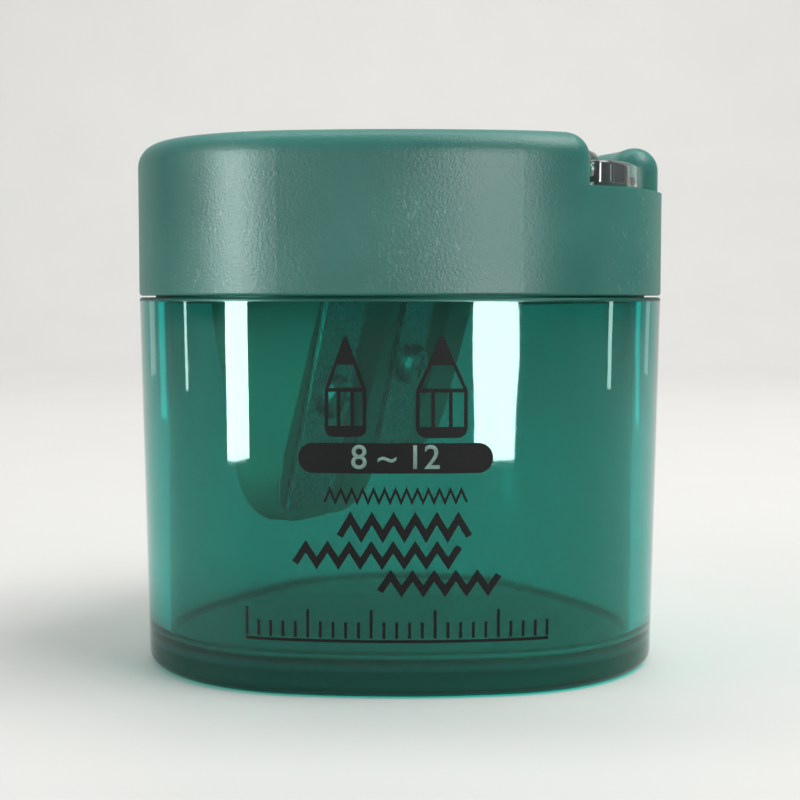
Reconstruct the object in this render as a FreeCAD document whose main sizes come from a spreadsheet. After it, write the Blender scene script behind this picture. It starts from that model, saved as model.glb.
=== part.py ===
# Two-hole pencil sharpener: a three-sided clear container, a moulded head with a hinged clear lid,
# and a twin-hole sharpener block that hangs in the container. Millimetres, +Z up, base on z = 0.
#
# Each sub-part is drawn with the thumb tab towards -Y and the hinge towards +Y, then every one is
# turned by the same angle, so that the broad side left of the tab faces -Y.
import FreeCAD, Part
import math
import os
import Sketcher

Vector = FreeCAD.Vector
Rotation = FreeCAD.Rotation
Placement = FreeCAD.Placement

UP = Vector(0, 0, 1)
X_AXIS = Vector(1, 0, 0)
MARGIN = 1.0  # how far a cut runs past the solid that it cuts
NEAR = 1e-3  # two measures closer than this are the same

DIMENSIONS = {
    # plan outline: three corner arcs joined by three gently bowed sides
    "width": 46.0,
    "corner_radius": 16.3,
    "side_radius": 52.8,
    "turn": 60.0,
    # heights from the table
    "floor_top": 2.8,
    "shoulder": 32.05,
    "neck_top": 36.0,
    "head_low": 32.2,
    "deck_low": 38.2,
    "deck_top": 39.8,
    "ledge_top": 41.0,
    "head_top": 45.3,
    # container
    "base_inset": 0.6,
    "cavity_inset": 2.4,
    "neck_inset": 1.4,
    "base_round": 1.0,
    "seam_round": 0.25,
    # head shell
    "head_wall": 1.2,
    "bead_width": 4.2,
    "bead_round": 2.05,
    "ledge_inset": 5.5,
    "hinge_gap": 16.7,
    "tab_gap": 11.2,
    "window_gap": 0.1,
    "dome_step": 0.02,
    # the wedges that cut the bead, as shares of the way out to its end
    "hinge_wedge_near": 0.9,
    "hinge_wedge_far": 1.1,
    "tab_wedge_near": 0.6,
    "tab_wedge_far": 1.4,
    # hinge
    "hinge_out": 17.0,
    "hinge_height": 43.6,
    "pin_radius": 0.7,
    "pin_clearance": 0.05,
    "pin_length": 15.6,
    "pin_chamfer": 0.21,
    "knuckle_radius": 1.65,
    "centre_knuckle": 6.6,
    "lug_near": 3.45,
    "lug_thick": 1.1,
    "lug_radius": 1.4,
    "lug_foot_front": 15.6,
    "lug_foot_back": 18.2,
    "side_knuckle_near": 4.7,
    "side_knuckle_far": 8.0,
    # lid
    "lid_low": 41.2,
    "flange_top": 42.4,
    "lid_top": 44.7,
    "lid_plate": 1.2,
    "lid_inset": 4.45,
    "rim_outer_inset": 5.4,
    "rim_inner_inset": 6.5,
    "lid_round": 0.7,
    "web_front": 14.5,
    "notch_gap": 0.3,
    "notch_over": 0.2,
    "tab_top": 43.4,
    "tab_reach": 14.4,
    "tab_root": 11.2,
    "tab_root_share": 0.85,
    "tab_half_angle": 19.5,
    "tab_corner": 1.6,
    "tab_round": 0.4,
    # sharpener block
    "block_left": -13.9,
    "block_right": 14.1,
    "block_front": -5.0,
    "block_back": 11.8,
    "block_top": 42.6,
    "block_slope": 1.1,
    "block_front_slope": 1.8,
    "block_corner": 0.8,
    "block_edge_round": 0.35,
    "block_flange": 1.3,
    "flange_low": 36.6,
    "tongue_low": 35.2,
    "tongue_radius": 3.4,
    "cone_start": 33.5,
    "cone_angle": 16.0,
    "back_angle": 10.0,
    "cone_wall": 1.4,
    "slot_depth": 0.5,
    "large_hole": 12.0,
    "large_hole_x": -4.7,
    "large_hole_y": 4.0,
    "large_tip": 1.0,
    "large_low": 12.6,
    "large_left": -14.7,
    "large_right": 1.2,
    "small_hole": 8.4,
    "small_hole_x": 6.4,
    "small_tip": 0.8,
    "small_low": 18.0,
    "small_right": 12.4,
    "small_back": 9.8,
    "large_end_round": 4.6,
    "small_end_round": 3.6,
    "back_round": 1.5,
    "lobe_overlap": 0.5,
    # blades and screws
    "blade_thick": 0.6,
    "blade_start": -1.0,
    "large_blade_length": 20.8,
    "large_blade_width": 7.4,
    "small_blade_length": 16.2,
    "small_blade_width": 6.2,
    "edge_share": 0.85,
    "edge_least_reach": 0.2,
    "screw_shift": 0.2,
    "edge_bevel": 1.5,
    "bevel_over": 0.2,
    "edge_thick": 0.12,
    "blade_round": 0.5,
    "shank_radius": 1.05,
    "shank_clearance": 0.05,
    "shank_length": 4.2,
    "blade_screw_head": 1.9,
    "blade_screw_rise": 1.1,
    "recess_length": 2.2,
    "recess_width": 0.5,
    "recess_depth": 0.6,
    "large_screw_drop": 10.0,
    "small_screw_drop": 7.5,
    "screw_place_y": -15.7,
    "block_screw_head": 2.35,
    "block_screw_rise": 0.8,
    "counterbore_depth": 0.9,
    "counterbore_radius": 2.5,
}


def make_sheet(doc):
    sheet = doc.addObject("Spreadsheet::Sheet", "Dims")
    for row, (alias, number) in enumerate(DIMENSIONS.items(), start=1):
        sheet.set("A%d" % row, alias)
        sheet.set("B%d" % row, str(number))
        sheet.setAlias("B%d" % row, alias)
    doc.recompute()
    return sheet


# ---- sketches ---------------------------------------------------------------------------------

def origin_feature(body, role):
    return next(f for f in body.Origin.OriginFeatures if f.Role == role)


def value(sketch, expression):
    number = sketch.evalExpression(str(expression))
    return float(getattr(number, "Value", number))


def new_sketch(body, name, role="XY_Plane", rise="0", across="0"):
    sketch = body.newObject("Sketcher::SketchObject", name)
    sketch.AttachmentSupport = [(origin_feature(body, role), "")]
    sketch.MapMode = "FlatFace"
    sketch.setExpression("AttachmentOffset.Base.z", rise)
    sketch.setExpression("AttachmentOffset.Base.x", across)
    return sketch


def bind(sketch, kind, *where, to):
    index = sketch.addConstraint(Sketcher.Constraint(kind, *where, value(sketch, to)))
    sketch.setExpression("Constraints[%d]" % index, to)


def hold_point(sketch, geometry, end, x, y):
    bind(sketch, "DistanceX", -1, 1, geometry, end, to=x)
    bind(sketch, "DistanceY", -1, 1, geometry, end, to=y)


def polygon(sketch, points):
    spots = [Vector(value(sketch, x), value(sketch, y), 0) for x, y in points]
    first = sketch.GeometryCount
    count = len(points)
    for i in range(count):
        sketch.addGeometry(Part.LineSegment(spots[i], spots[(i + 1) % count]), False)
    for i in range(count):
        sketch.addConstraint(Sketcher.Constraint("Coincident", first + i, 2, first + (i + 1) % count, 1))
    for i, (x, y) in enumerate(points):
        hold_point(sketch, first + i, 1, x, y)


def rectangle(sketch, left, right, low, high):
    polygon(sketch, [(left, low), (right, low), (right, high), (left, high)])


def circle(sketch, x, y, radius):
    centre = Vector(value(sketch, x), value(sketch, y), 0)
    index = sketch.addGeometry(Part.Circle(centre, UP, value(sketch, radius)), False)
    bind(sketch, "Radius", index, to=radius)
    hold_point(sketch, index, 3, x, y)


def soft_rectangle(sketch, left, right, low, high, radius="Dims.block_corner"):
    """A rectangle with rounded corners."""
    west, east, south, north = [value(sketch, e) for e in (left, right, low, high)]
    r = value(sketch, radius)
    middles = ((east - r, south + r, -90), (east - r, north - r, 0),
               (west + r, north - r, 90), (west + r, south + r, 180))
    arcs = [Part.ArcOfCircle(Part.Circle(Vector(x, y, 0), UP, r), math.radians(a), math.radians(a + 90))
            for x, y, a in middles]
    for i, arc in enumerate(arcs):
        sketch.addGeometry(arc, False)
        sketch.addGeometry(Part.LineSegment(arc.EndPoint, arcs[(i + 1) % 4].StartPoint), False)
    for i in range(8):
        sketch.addConstraint(Sketcher.Constraint("Tangent", i, 2, (i + 1) % 8, 1))
    for i in (0, 2, 4, 6):
        bind(sketch, "Radius", i, to=radius)
    hold_point(sketch, 0, 3, "%s - %s" % (right, radius), "%s + %s" % (low, radius))
    hold_point(sketch, 4, 3, "%s + %s" % (left, radius), "%s - %s" % (high, radius))
    sketch.addConstraint(Sketcher.Constraint("Horizontal", 3))
    sketch.addConstraint(Sketcher.Constraint("Vertical", 1))


CORNER_REACH = "(Dims.width / 2 - Dims.corner_radius)"  # a corner's centre, measured along X


def rounded_triangle(sketch, inset):
    """Six tangent arcs: the plan outline, moved inwards by inset."""
    half = value(sketch, CORNER_REACH)
    corner = value(sketch, "Dims.corner_radius - (%s)" % inset)
    side = value(sketch, "Dims.side_radius - (%s)" % inset)
    middle_reach = half / math.cos(math.radians(30))
    inner_reach = half * math.tan(math.radians(30))
    side_shift = inner_reach - math.sqrt((side - corner) ** 2 - half ** 2)
    spread = math.degrees(math.asin(half / (side - corner)))
    for angle in (-90, 30, 150):
        for reach, radius, facing, sweep in ((middle_reach, corner, angle, 60 - spread),
                                             (side_shift, side, angle + 60, spread)):
            turn = math.radians(facing)
            centre = Vector(math.cos(turn), math.sin(turn), 0) * reach
            ends = (math.radians(facing - sweep), math.radians(facing + sweep))
            sketch.addGeometry(Part.ArcOfCircle(Part.Circle(centre, UP, radius), *ends), False)
    for i in range(6):
        sketch.addConstraint(Sketcher.Constraint("Tangent", i, 2, (i + 1) % 6, 1))
    for i in (0, 2, 4):
        bind(sketch, "Radius", i, to="Dims.corner_radius - (%s)" % inset)
        bind(sketch, "Radius", i + 1, to="Dims.side_radius - (%s)" % inset)
    hold_point(sketch, 0, 3, "0", "-%s / cos(30)" % CORNER_REACH)
    hold_point(sketch, 2, 3, CORNER_REACH, CORNER_REACH + " * tan(30)")
    hold_point(sketch, 4, 3, "-" + CORNER_REACH, CORNER_REACH + " * tan(30)")


# ---- features ---------------------------------------------------------------------------------

def new_body(doc, label):
    body = doc.addObject("PartDesign::Body", label)
    body.Label = label
    return body


def pad(body, sketch, length, both_ways=False, taper=None):
    feature = body.newObject("PartDesign::Pad", sketch.Name + "_pad")
    feature.Profile = sketch
    feature.setExpression("Length", length)
    feature.Midplane = both_ways
    if taper:
        feature.setExpression("TaperAngle", taper)
    body.Document.recompute()
    return feature


def check_cut(feature, before):
    if feature.Shape.Volume >= before - 1e-6:
        raise RuntimeError(feature.Name + " cuts nothing")


def pocket(body, sketch, length, towards_normal=False, both_ways=False):
    """Cut against the sketch's normal, unless told to go along it."""
    before = body.Shape.Volume
    feature = body.newObject("PartDesign::Pocket", sketch.Name + "_cut")
    feature.Profile = sketch
    feature.setExpression("Length", length)
    feature.Reversed = towards_normal
    feature.Midplane = both_ways
    body.Document.recompute()
    check_cut(feature, before)
    return feature


def turned(body, sketch, kind):
    """Revolution or Groove of a sketch about its own upright axis."""
    before = body.Shape.Volume if body.Tip else 0.0
    feature = body.newObject("PartDesign::" + kind, sketch.Name + "_turned")
    feature.Profile = sketch
    feature.ReferenceAxis = (sketch, ["V_Axis"])
    feature.Angle = 360
    body.Document.recompute()
    if kind == "Groove":
        check_cut(feature, before)
    return feature


def round_edges(body, radius, wanted, kind="Fillet"):
    """Round (or chamfer) the edges that wanted() picks by their bounding box."""
    base = body.Tip
    names = ["Edge%d" % (i + 1) for i, edge in enumerate(base.Shape.Edges) if wanted(edge)]
    if not names:
        raise RuntimeError("no edge to round on " + body.Label)
    feature = body.newObject("PartDesign::" + kind, body.Label + "_round")
    feature.Base = (base, names)
    feature.setExpression("Radius" if kind == "Fillet" else "Size", radius)
    body.Document.recompute()
    return feature


def mirror(body, originals):
    feature = body.newObject("PartDesign::Mirrored", originals[0].Name + "_mirror")
    feature.Originals = originals
    feature.MirrorPlane = (origin_feature(body, "YZ_Plane"), [""])
    body.Tip = feature
    body.Document.recompute()
    return feature


def at_height(edge, height):
    box = edge.BoundBox
    return abs(box.ZMin - height) < 1e-4 and abs(box.ZMax - height) < 1e-4


def is_upright(edge):
    box = edge.BoundBox
    return box.ZLength > 0.3 and box.XLength + box.YLength < 1e-4


def reach_of(edge):
    """Distance from the object's upright axis to the middle of an edge."""
    middle = edge.valueAt((edge.FirstParameter + edge.LastParameter) / 2)
    return math.hypot(middle.x, middle.y)


# ---- container --------------------------------------------------------------------------------

def make_container(doc, dims):
    body = new_body(doc, "container")
    wall = new_sketch(body, "container_wall")
    rounded_triangle(wall, "Dims.base_inset")
    pad(body, wall, "Dims.shoulder", taper="atan(Dims.base_inset / Dims.shoulder)")
    neck = new_sketch(body, "container_neck", rise="Dims.shoulder - %g" % MARGIN)
    rounded_triangle(neck, "Dims.neck_inset")
    pad(body, neck, "Dims.neck_top - Dims.shoulder + %g" % MARGIN)
    cavity = new_sketch(body, "container_cavity", rise="Dims.neck_top")
    rounded_triangle(cavity, "Dims.cavity_inset")
    pocket(body, cavity, "Dims.neck_top - Dims.floor_top")
    round_edges(body, "Dims.base_round", lambda e: at_height(e, 0))
    round_edges(body, "Dims.seam_round", lambda e: at_height(e, dims.shoulder) and outermost(e, dims))
    round_edges(body, "Dims.seam_round",
                lambda e: at_height(e, dims.neck_top) and reach_of(e) > dims.corner_radius)
    round_edges(body, "Dims.base_round", lambda e: at_height(e, dims.floor_top))
    return body


def outermost(edge, dims):
    """True for edges of the full plan outline, not of one moved inwards."""
    radius = getattr(edge.Curve, "Radius", 0)
    return min(abs(radius - dims.corner_radius), abs(radius - dims.side_radius)) < 0.05


# ---- head shell -------------------------------------------------------------------------------

DOME_RADIUS = "(Dims.bead_width / 2 - Dims.dome_step)"
DOME_TOP = "(Dims.head_top - Dims.dome_step)"


def make_head(doc, dims):
    body = new_body(doc, "head_shell")
    wall = new_sketch(body, "head_wall", rise="Dims.head_low")
    rounded_triangle(wall, "0")
    pad(body, wall, "Dims.head_top - Dims.head_low")
    inside = new_sketch(body, "head_inside", rise="Dims.head_low")
    rounded_triangle(inside, "Dims.head_wall")
    pocket(body, inside, "Dims.deck_low - Dims.head_low", towards_normal=True)
    well = new_sketch(body, "head_well", rise="Dims.head_top")
    rounded_triangle(well, "Dims.bead_width")
    pocket(body, well, "Dims.head_top - Dims.ledge_top")
    step = new_sketch(body, "head_step", rise="Dims.ledge_top")
    rounded_triangle(step, "Dims.ledge_inset")
    pocket(body, step, "Dims.ledge_top - Dims.deck_top")
    round_edges(body, "Dims.bead_round", lambda e: at_height(e, dims.head_top))
    round_edges(body, "Dims.seam_round", lambda e: at_height(e, dims.head_low) and outermost(e, dims))
    cut_bead_gaps(body)
    cut_deck_openings(body)
    add_lugs(body)
    return body


def cut_bead_gaps(body):
    """The rolled rim stops at the hinge and at the thumb tab, and its four ends are domed.

    Both cuts are wedges that point at the centre of the arc that the rim follows there.
    """
    half_bead = "Dims.bead_width / 2"
    side_centre = "(%s * tan(30) - sqrt((Dims.side_radius - Dims.corner_radius)^2 - %s^2))" % (
        CORNER_REACH, CORNER_REACH)
    corner_centre = "(-%s / cos(30))" % CORNER_REACH
    hinge_end = "(Dims.hinge_gap / 2 + %s)" % half_bead
    tab_end = "(Dims.tab_gap / 2 + %s)" % half_bead
    hinge_rise = "sqrt((Dims.side_radius - %s)^2 - %s^2)" % (half_bead, hinge_end)
    tab_drop = "(-sqrt((Dims.corner_radius - %s)^2 - %s^2))" % (half_bead, tab_end)
    for name, centre, end_x, reach in (("hinge", side_centre, hinge_end, hinge_rise),
                                       ("tab", corner_centre, tab_end, tab_drop)):
        corners = []
        for sides, share in (("-+", "near"), ("+-", "far")):
            share = "Dims.%s_wedge_%s" % (name, share)
            corners += [("%s%s * %s" % (side.strip("+"), end_x, share),
                         "%s + %s * %s" % (centre, reach, share)) for side in sides]
        wedge = new_sketch(body, name + "_gap", rise="Dims.ledge_top")
        polygon(wedge, corners)
        pocket(body, wedge, "Dims.head_top - Dims.ledge_top + %g" % MARGIN, towards_normal=True)
        dome = new_sketch(body, name + "_end", role="XZ_Plane", rise="-(%s + %s)" % (centre, reach),
                          across=end_x)
        dome_profile(dome)
        mirror(body, [turned(body, dome, "Revolution")])


def dome_profile(sketch):
    """Half of the bead's own section, a hair smaller so that the dome stays inside the bead."""
    radius = value(sketch, DOME_RADIUS)
    top = value(sketch, DOME_TOP)
    low = value(sketch, "Dims.ledge_top")
    arc = Part.ArcOfCircle(Part.Circle(Vector(0, top - radius, 0), UP, radius), 0, math.pi / 2)
    spots = [arc.EndPoint, Vector(0, low - MARGIN, 0), Vector(radius, low - MARGIN, 0), arc.StartPoint]
    sketch.addGeometry(arc, False)
    for start, end in zip(spots, spots[1:]):
        sketch.addGeometry(Part.LineSegment(start, end), False)
    for i in range(4):
        sketch.addConstraint(Sketcher.Constraint("Coincident", i, 2, (i + 1) % 4, 1))
    bind(sketch, "Radius", 0, to=DOME_RADIUS)
    hold_point(sketch, 0, 3, "0", "%s - %s" % (DOME_TOP, DOME_RADIUS))
    bind(sketch, "DistanceX", -1, 1, 0, 2, to="0")
    bind(sketch, "DistanceY", -1, 1, 0, 1, to="%s - %s" % (DOME_TOP, DOME_RADIUS))
    hold_point(sketch, 2, 1, "0", "Dims.ledge_top - %g" % MARGIN)
    sketch.addConstraint(Sketcher.Constraint("Horizontal", 2))
    sketch.addConstraint(Sketcher.Constraint("Vertical", 3))


def cut_deck_openings(body):
    window = new_sketch(body, "deck_window", rise="Dims.deck_top")
    soft_rectangle(window, "Dims.block_left - Dims.window_gap", "Dims.block_right + Dims.window_gap",
                   "Dims.block_front - Dims.window_gap", "Dims.block_back + Dims.window_gap",
                   "(Dims.block_corner + Dims.window_gap)")
    pocket(body, window, "Dims.deck_top - Dims.deck_low")
    counterbore = new_sketch(body, "counterbore", rise="Dims.deck_top")
    circle(counterbore, "0", "Dims.screw_place_y", "Dims.counterbore_radius")
    pocket(body, counterbore, "Dims.counterbore_depth")
    through = new_sketch(body, "screw_way", rise="Dims.deck_top")
    circle(through, "0", "Dims.screw_place_y", "Dims.shank_radius + 2 * Dims.shank_clearance")
    pocket(body, through, "Dims.deck_top - Dims.deck_low + %g" % MARGIN)


def add_lugs(body):
    """Two thin lugs on the ledge carry the hinge pin between the lid's knuckles."""
    foot = new_sketch(body, "lug_foot", role="YZ_Plane", rise="Dims.lug_near")
    rectangle(foot, "Dims.lug_foot_front", "Dims.lug_foot_back",
              "Dims.deck_top", "Dims.hinge_height")
    eye = new_sketch(body, "lug_eye", role="YZ_Plane", rise="Dims.lug_near")
    circle(eye, "Dims.hinge_out", "Dims.hinge_height", "Dims.lug_radius")
    pads = [pad(body, foot, "Dims.lug_thick"), pad(body, eye, "Dims.lug_thick")]
    mirror(body, pads)
    pin_way = new_sketch(body, "lug_pin_way", role="YZ_Plane")
    circle(pin_way, "Dims.hinge_out", "Dims.hinge_height", "Dims.pin_radius")
    pocket(body, pin_way, "Dims.hinge_gap", both_ways=True)


# ---- lid --------------------------------------------------------------------------------------

def make_lid(doc, dims):
    body = new_body(doc, "lid")
    flange = new_sketch(body, "lid_flange", rise="Dims.lid_low")
    rounded_triangle(flange, "Dims.lid_inset")
    pad(body, flange, "Dims.flange_top - Dims.lid_low")
    rim = new_sketch(body, "lid_rim", rise="Dims.lid_low")
    rounded_triangle(rim, "Dims.rim_outer_inset")
    pad(body, rim, "Dims.lid_top - Dims.lid_low")
    round_edges(body, "Dims.lid_round", lambda e: at_height(e, dims.lid_top))
    cut_lug_notches(body)
    add_knuckles(body)
    add_tab(body, dims)
    hollow = new_sketch(body, "lid_hollow", rise="Dims.lid_low")
    rounded_triangle(hollow, "Dims.rim_inner_inset")
    pocket(body, hollow, "Dims.lid_top - Dims.lid_plate - Dims.lid_low", towards_normal=True)
    return body


def cut_lug_notches(body):
    notch = new_sketch(body, "lug_notch", rise="Dims.lid_low")
    gap = "(Dims.side_knuckle_near - Dims.lug_near - Dims.lug_thick)"
    rectangle(notch, "Dims.lug_near - %s" % gap, "Dims.side_knuckle_near",
              "Dims.lug_foot_front - Dims.notch_gap", "Dims.hinge_out + Dims.knuckle_radius")
    cut = pocket(body, notch, "Dims.flange_top - Dims.lid_low + Dims.notch_over", towards_normal=True)
    mirror(body, [cut])


def add_knuckles(body):
    """Three knuckles on one line, each on a web that grows out of the raised rim."""
    centre = new_sketch(body, "centre_knuckle", role="YZ_Plane")
    circle(centre, "Dims.hinge_out", "Dims.hinge_height", "Dims.knuckle_radius")
    pad(body, centre, "Dims.centre_knuckle", both_ways=True)
    web = new_sketch(body, "centre_web", role="YZ_Plane")
    web_outline(web)
    pad(body, web, "Dims.centre_knuckle", both_ways=True)
    side = new_sketch(body, "side_knuckle", role="YZ_Plane", rise="Dims.side_knuckle_near")
    circle(side, "Dims.hinge_out", "Dims.hinge_height", "Dims.knuckle_radius")
    side_web = new_sketch(body, "side_web", role="YZ_Plane", rise="Dims.side_knuckle_near")
    web_outline(side_web)
    length = "Dims.side_knuckle_far - Dims.side_knuckle_near"
    mirror(body, [pad(body, side, length), pad(body, side_web, length)])
    pin_way = new_sketch(body, "knuckle_pin_way", role="YZ_Plane")
    circle(pin_way, "Dims.hinge_out", "Dims.hinge_height", "Dims.pin_radius + Dims.pin_clearance")
    pocket(body, pin_way, "Dims.hinge_gap", both_ways=True)


def web_outline(sketch):
    rectangle(sketch, "Dims.web_front", "Dims.hinge_out", "Dims.lid_low", "Dims.hinge_height")


def add_tab(body, dims):
    """The thumb tab: a crescent that shares its centre with the corner, wider at its tip."""
    sketch = new_sketch(body, "thumb_tab", rise="Dims.lid_low")
    centre_y = -value(sketch, CORNER_REACH + " / cos(30)")
    half = math.radians(dims.tab_half_angle)
    tip = Part.ArcOfCircle(Part.Circle(Vector(0, centre_y, 0), UP, dims.tab_reach),
                           -math.pi / 2 - half, -math.pi / 2 + half)
    sketch.addGeometry(tip, False)
    root_half = "Dims.tab_root * sin(Dims.tab_half_angle) * Dims.tab_root_share"
    root_y = "-%s / cos(30) - Dims.tab_root * cos(Dims.tab_half_angle)" % CORNER_REACH
    tip_half = "Dims.tab_reach * sin(Dims.tab_half_angle)"
    left = Vector(-value(sketch, root_half), value(sketch, root_y), 0)
    right = Vector(-left.x, left.y, 0)
    sketch.addGeometry(Part.LineSegment(tip.EndPoint, right), False)
    sketch.addGeometry(Part.LineSegment(right, left), False)
    sketch.addGeometry(Part.LineSegment(left, tip.StartPoint), False)
    for i in range(4):
        sketch.addConstraint(Sketcher.Constraint("Coincident", i, 2, (i + 1) % 4, 1))
    hold_point(sketch, 0, 3, "0", "-%s / cos(30)" % CORNER_REACH)
    bind(sketch, "Radius", 0, to="Dims.tab_reach")
    bind(sketch, "DistanceX", -1, 1, 0, 2, to=tip_half)
    bind(sketch, "DistanceX", 0, 1, -1, 1, to=tip_half)
    hold_point(sketch, 2, 1, root_half, root_y)
    hold_point(sketch, 2, 2, "-" + root_half, root_y)
    pad(body, sketch, "Dims.tab_top - Dims.lid_low")
    tip_y = centre_y - dims.tab_root

    def tip_corner(edge):
        return is_upright(edge) and edge.BoundBox.YMax < tip_y - 1 and abs(edge.BoundBox.Center.x) > 2
    round_edges(body, "Dims.tab_corner", tip_corner)
    round_edges(body, "Dims.tab_round",
                lambda e: e.BoundBox.YMax < tip_y - 0.1 and (at_height(e, dims.tab_top)
                                                              or at_height(e, dims.lid_low)))


# ---- sharpener block --------------------------------------------------------------------------

SMALL_HOLE_Y = "(Dims.large_hole_y - (Dims.large_hole - Dims.small_hole) / 2)"  # both cones touch one plane
SEAT_Y = "(Dims.large_hole_y - Dims.large_hole / 2 + Dims.slot_depth)"  # the blades' plane at cone_start
BACK_Y = "(Dims.large_hole_y + Dims.large_hole / 2 + Dims.cone_wall)"


def make_block(doc, dims):
    body = new_body(doc, "sharpener_block")
    flange = new_sketch(body, "block_flange", rise="Dims.flange_low")
    rectangle(flange, "Dims.block_left - Dims.block_flange", "Dims.block_right + Dims.block_flange",
              "Dims.block_front - Dims.block_flange", "Dims.block_back + Dims.block_flange")
    pad(body, flange, "Dims.deck_low - Dims.flange_low")
    round_edges(body, "2 * Dims.block_corner", is_upright)
    add_lobe(body, "large", "Dims.large_left", "Dims.large_right", "Dims.large_low", BACK_Y)
    add_lobe(body, "small", "Dims.large_right - %g" % MARGIN, "Dims.small_right", "Dims.small_low",
             "Dims.small_back")
    round_lobes(body, dims)
    add_tongue(body)
    add_raised_top(body, dims)
    drill_pencil_hole(body, "large", "Dims.large_hole_x", "Dims.large_hole_y")
    drill_pencil_hole(body, "small", "Dims.small_hole_x", SMALL_HOLE_Y)
    drill_screw_holes(body, dims)
    return body


def add_lobe(body, name, left, right, low, back):
    """A wedge round one cone: its front is the blades' plane and its back slopes the other way."""
    sketch = new_sketch(body, name + "_lobe", role="YZ_Plane", rise=left)
    top = "(Dims.flange_low + Dims.lobe_overlap)"

    def edge_point(start, sign, angle, height):
        return "%s %s (Dims.cone_start - %s) * tan(%s)" % (start, sign, height, angle), height
    polygon(sketch, [edge_point(SEAT_Y, "+", "Dims.cone_angle", top),
                     edge_point(SEAT_Y, "+", "Dims.cone_angle", low),
                     edge_point(back, "-", "Dims.back_angle", low),
                     edge_point(back, "-", "Dims.back_angle", top)])
    return pad(body, sketch, "%s - (%s)" % (right, left))


def round_lobes(body, dims):
    """The lobes end in rounded tips, and their back corners are rounded too."""
    def tip(edge, side, low):
        box = edge.BoundBox
        return at_height(edge, low) and abs(box.Center.x - side) < NEAR and box.XLength < NEAR
    round_edges(body, "Dims.large_end_round",
                lambda e: tip(e, dims.large_left, dims.large_low) or tip(e, dims.large_right, dims.large_low))
    round_edges(body, "Dims.small_end_round", lambda e: tip(e, dims.small_right, dims.small_low))

    def back_corner(edge):
        box = edge.BoundBox
        outer = min(abs(box.Center.x - dims.large_left), abs(box.Center.x - dims.small_right)) < NEAR
        return outer and box.XLength < NEAR and box.ZLength > 3 and box.YMin > dims.large_hole_y
    round_edges(body, "Dims.back_round", back_corner)


def add_tongue(body):
    """A tongue under the deck reaches the fixing screw."""
    strip = new_sketch(body, "tongue_strip", rise="Dims.tongue_low")
    rectangle(strip, "-Dims.tongue_radius", "Dims.tongue_radius", "Dims.screw_place_y", "Dims.block_front")
    pad(body, strip, "Dims.deck_low - Dims.tongue_low")
    end = new_sketch(body, "tongue_end", rise="Dims.tongue_low")
    circle(end, "0", "Dims.screw_place_y", "Dims.tongue_radius")
    pad(body, end, "Dims.deck_low - Dims.tongue_low")


def add_raised_top(body, dims):
    """The part seen above the deck: upright through the window, then four sloping walls."""
    collar = new_sketch(body, "block_collar", rise="Dims.deck_low - %g" % MARGIN)
    rectangle(collar, "Dims.block_left", "Dims.block_right", "Dims.block_front", "Dims.block_back")
    pad(body, collar, "Dims.deck_top - Dims.deck_low + %g" % MARGIN)
    round_edges(body, "Dims.block_corner", lambda e: is_upright(e) and at_collar(e, dims))
    low = new_sketch(body, "slope_low", rise="Dims.deck_top")
    soft_rectangle(low, "Dims.block_left", "Dims.block_right", "Dims.block_front", "Dims.block_back")
    high = new_sketch(body, "slope_high", rise="Dims.block_top")
    soft_rectangle(high, "Dims.block_left + Dims.block_slope", "Dims.block_right - Dims.block_slope",
                   "Dims.block_front + Dims.block_front_slope", "Dims.block_back - Dims.block_slope")
    loft = body.newObject("PartDesign::AdditiveLoft", "block_slope_loft")
    loft.Profile = low
    loft.Sections = [(high, [""])]
    loft.Ruled = True
    body.Document.recompute()
    round_edges(body, "Dims.block_edge_round", lambda e: at_height(e, dims.block_top))


def at_collar(edge, dims):
    box = edge.BoundBox
    return box.ZMax > dims.deck_top - NEAR


def drill_pencil_hole(body, name, x, y):
    """A straight guide, then a cone that narrows to a small open tip."""
    sketch = new_sketch(body, name + "_hole", role="XZ_Plane", rise="-(%s)" % y, across=x)
    radius = "Dims.%s_hole / 2" % name
    tip = "Dims.%s_tip" % name
    tip_height = "Dims.cone_start - (%s - %s) / tan(Dims.cone_angle)" % (radius, tip)
    polygon(sketch, [("0", "Dims.block_top + %g" % MARGIN), ("0", "Dims.large_low - %g" % MARGIN),
                     (tip, "Dims.large_low - %g" % MARGIN), (tip, tip_height),
                     (radius, "Dims.cone_start"), (radius, "Dims.block_top + %g" % MARGIN)])
    turned(body, sketch, "Groove")


def seat_place(dims):
    """Origin on the blades' plane at cone_start: x across, y up the plane, z out of it."""
    seat_y = dims.large_hole_y - dims.large_hole / 2 + dims.slot_depth
    return Placement(Vector(0, seat_y, dims.cone_start), Rotation(X_AXIS, 90 + dims.cone_angle))


def drill_screw_holes(body, dims):
    for name in ("large", "small"):
        across, up = screw_spot(dims, name)
        sketch = body.newObject("Sketcher::SketchObject", name + "_screw_hole")
        sketch.AttachmentSupport = [(origin_feature(body, "XY_Plane"), "")]
        sketch.MapMode = "FlatFace"
        sketch.AttachmentOffset = seat_place(dims)
        circle(sketch, "%g" % across, "%g" % up, "Dims.shank_radius + Dims.shank_clearance")
        pocket(body, sketch, "Dims.shank_length")
    way = new_sketch(body, "tongue_screw_hole", rise="Dims.deck_low")
    circle(way, "0", "Dims.screw_place_y", "Dims.shank_radius + Dims.shank_clearance")
    pocket(body, way, "Dims.deck_low - Dims.tongue_low + %g" % MARGIN)


# ---- blades and screws ------------------------------------------------------------------------

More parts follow.
